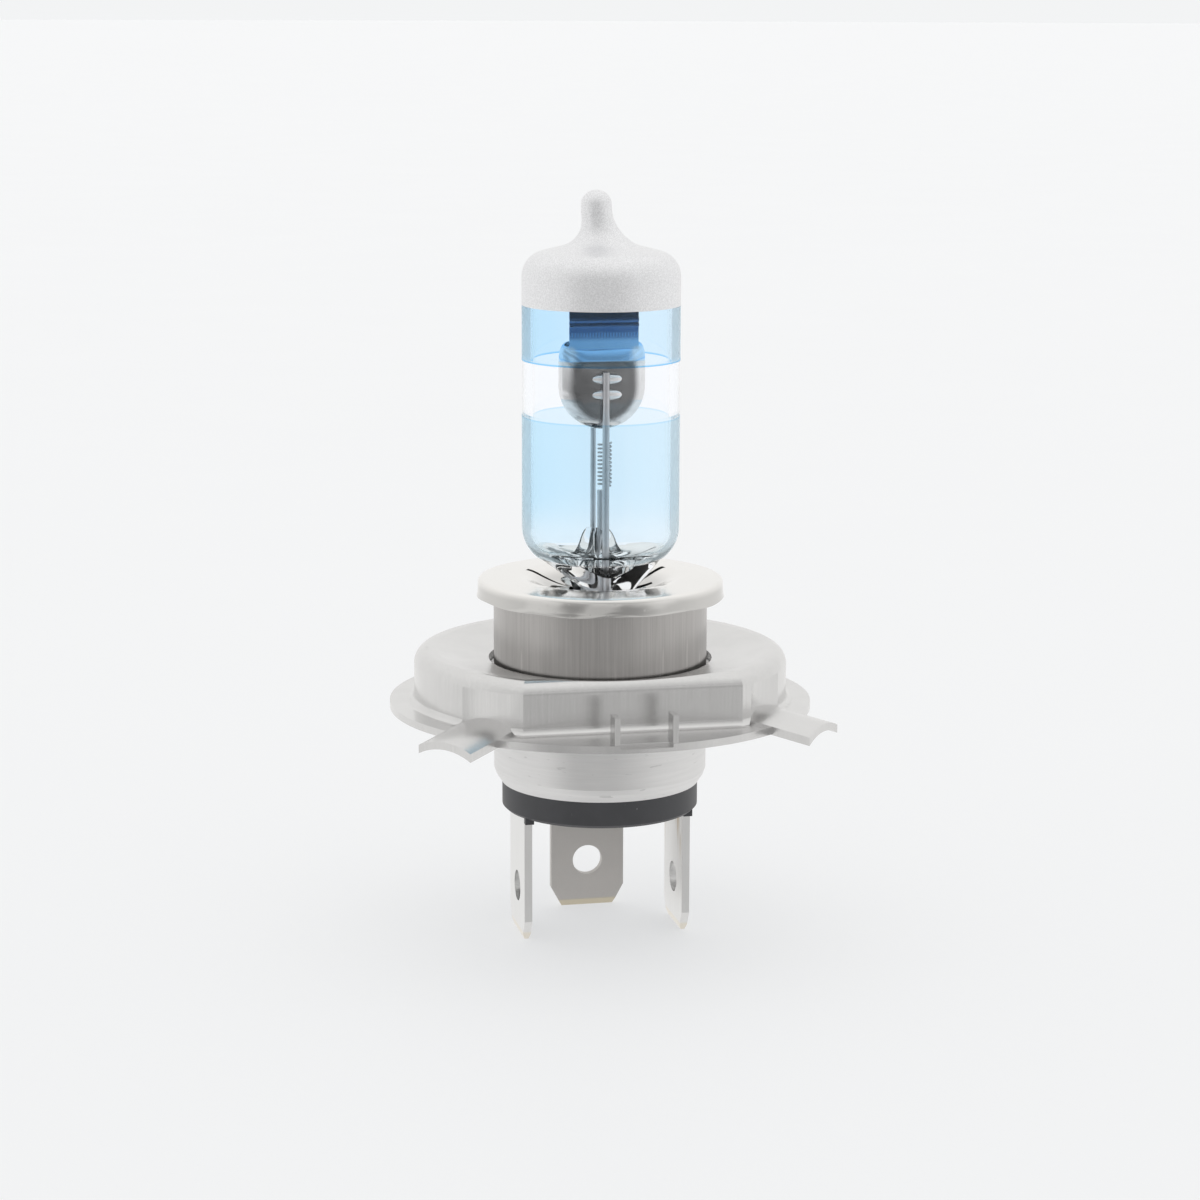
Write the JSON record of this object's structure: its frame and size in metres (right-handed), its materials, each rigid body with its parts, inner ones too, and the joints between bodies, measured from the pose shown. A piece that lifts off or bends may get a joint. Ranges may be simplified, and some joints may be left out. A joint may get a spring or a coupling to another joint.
{
  "type": "headlight bulb",
  "caption": "Twin-filament halogen headlight bulb: coated glass tube with silver tip, lugged prefocus ring, metal base shell and black insulator with blade terminals.",
  "frame": {"origin": "centre of the prefocus ring's seating face, which is the upper face of its rim", "axes": "+Z along the bulb's axis to the glass tip, -Y to the flat front of the collar and the shield's convex side, +Y to the wide lug and the rear blade"},
  "size_m": [0.043, 0.0468, 0.0762],
  "materials": {
    "quartz_glass": "clear, smooth",
    "silver_paint": "fine metallic paint, satin",
    "upper_blue_film": "clear blue interference film",
    "lower_blue_film": "pale blue interference film",
    "shield_metal": "polished, slightly clouded",
    "tungsten_wire": "fine drawn wire",
    "support_wire": "drawn wire, satin",
    "molybdenum_foil": "thin foil",
    "outer_lead": "drawn wire",
    "polished_nickel": "mirror-bright plating",
    "brushed_nickel": "fine vertical brushing",
    "satin_steel": "satin, bright along the bends",
    "weld_metal": "spot weld",
    "satin_shell": "soft satin",
    "black_plastic": "semi-matte moulding",
    "tinned_blade": "bright satin",
    "matte_blade": "matte warm grey",
    "solder": "dull solder"
  },
  "bodies": {
    "root": {"glass_bulb": "quartz_glass", "silver_cap_coating": "silver_paint", "upper_blue_coating": "upper_blue_film", "lower_blue_coating": "lower_blue_film", "low_beam_shield": "shield_metal", "low_beam_filament": "tungsten_wire", "high_beam_filament": "tungsten_wire", "common_support_wire": "support_wire", "high_beam_support_wire": "support_wire", "low_beam_support_wire": "support_wire", "common_foil": "molybdenum_foil", "high_beam_foil": "molybdenum_foil", "low_beam_foil": "molybdenum_foil", "common_outer_lead": "outer_lead", "high_beam_outer_lead": "outer_lead", "low_beam_outer_lead": "outer_lead", "retainer_cap": "polished_nickel", "upper_sleeve": "brushed_nickel", "focus_ring": "satin_steel", "ring_welds": "weld_metal", "base_shell": "satin_shell", "insulator": "black_plastic", "left_terminal": "tinned_blade", "right_terminal": "tinned_blade", "rear_terminal": "matte_blade", "solder_joints": "solder"}
  },
  "joints": []
}
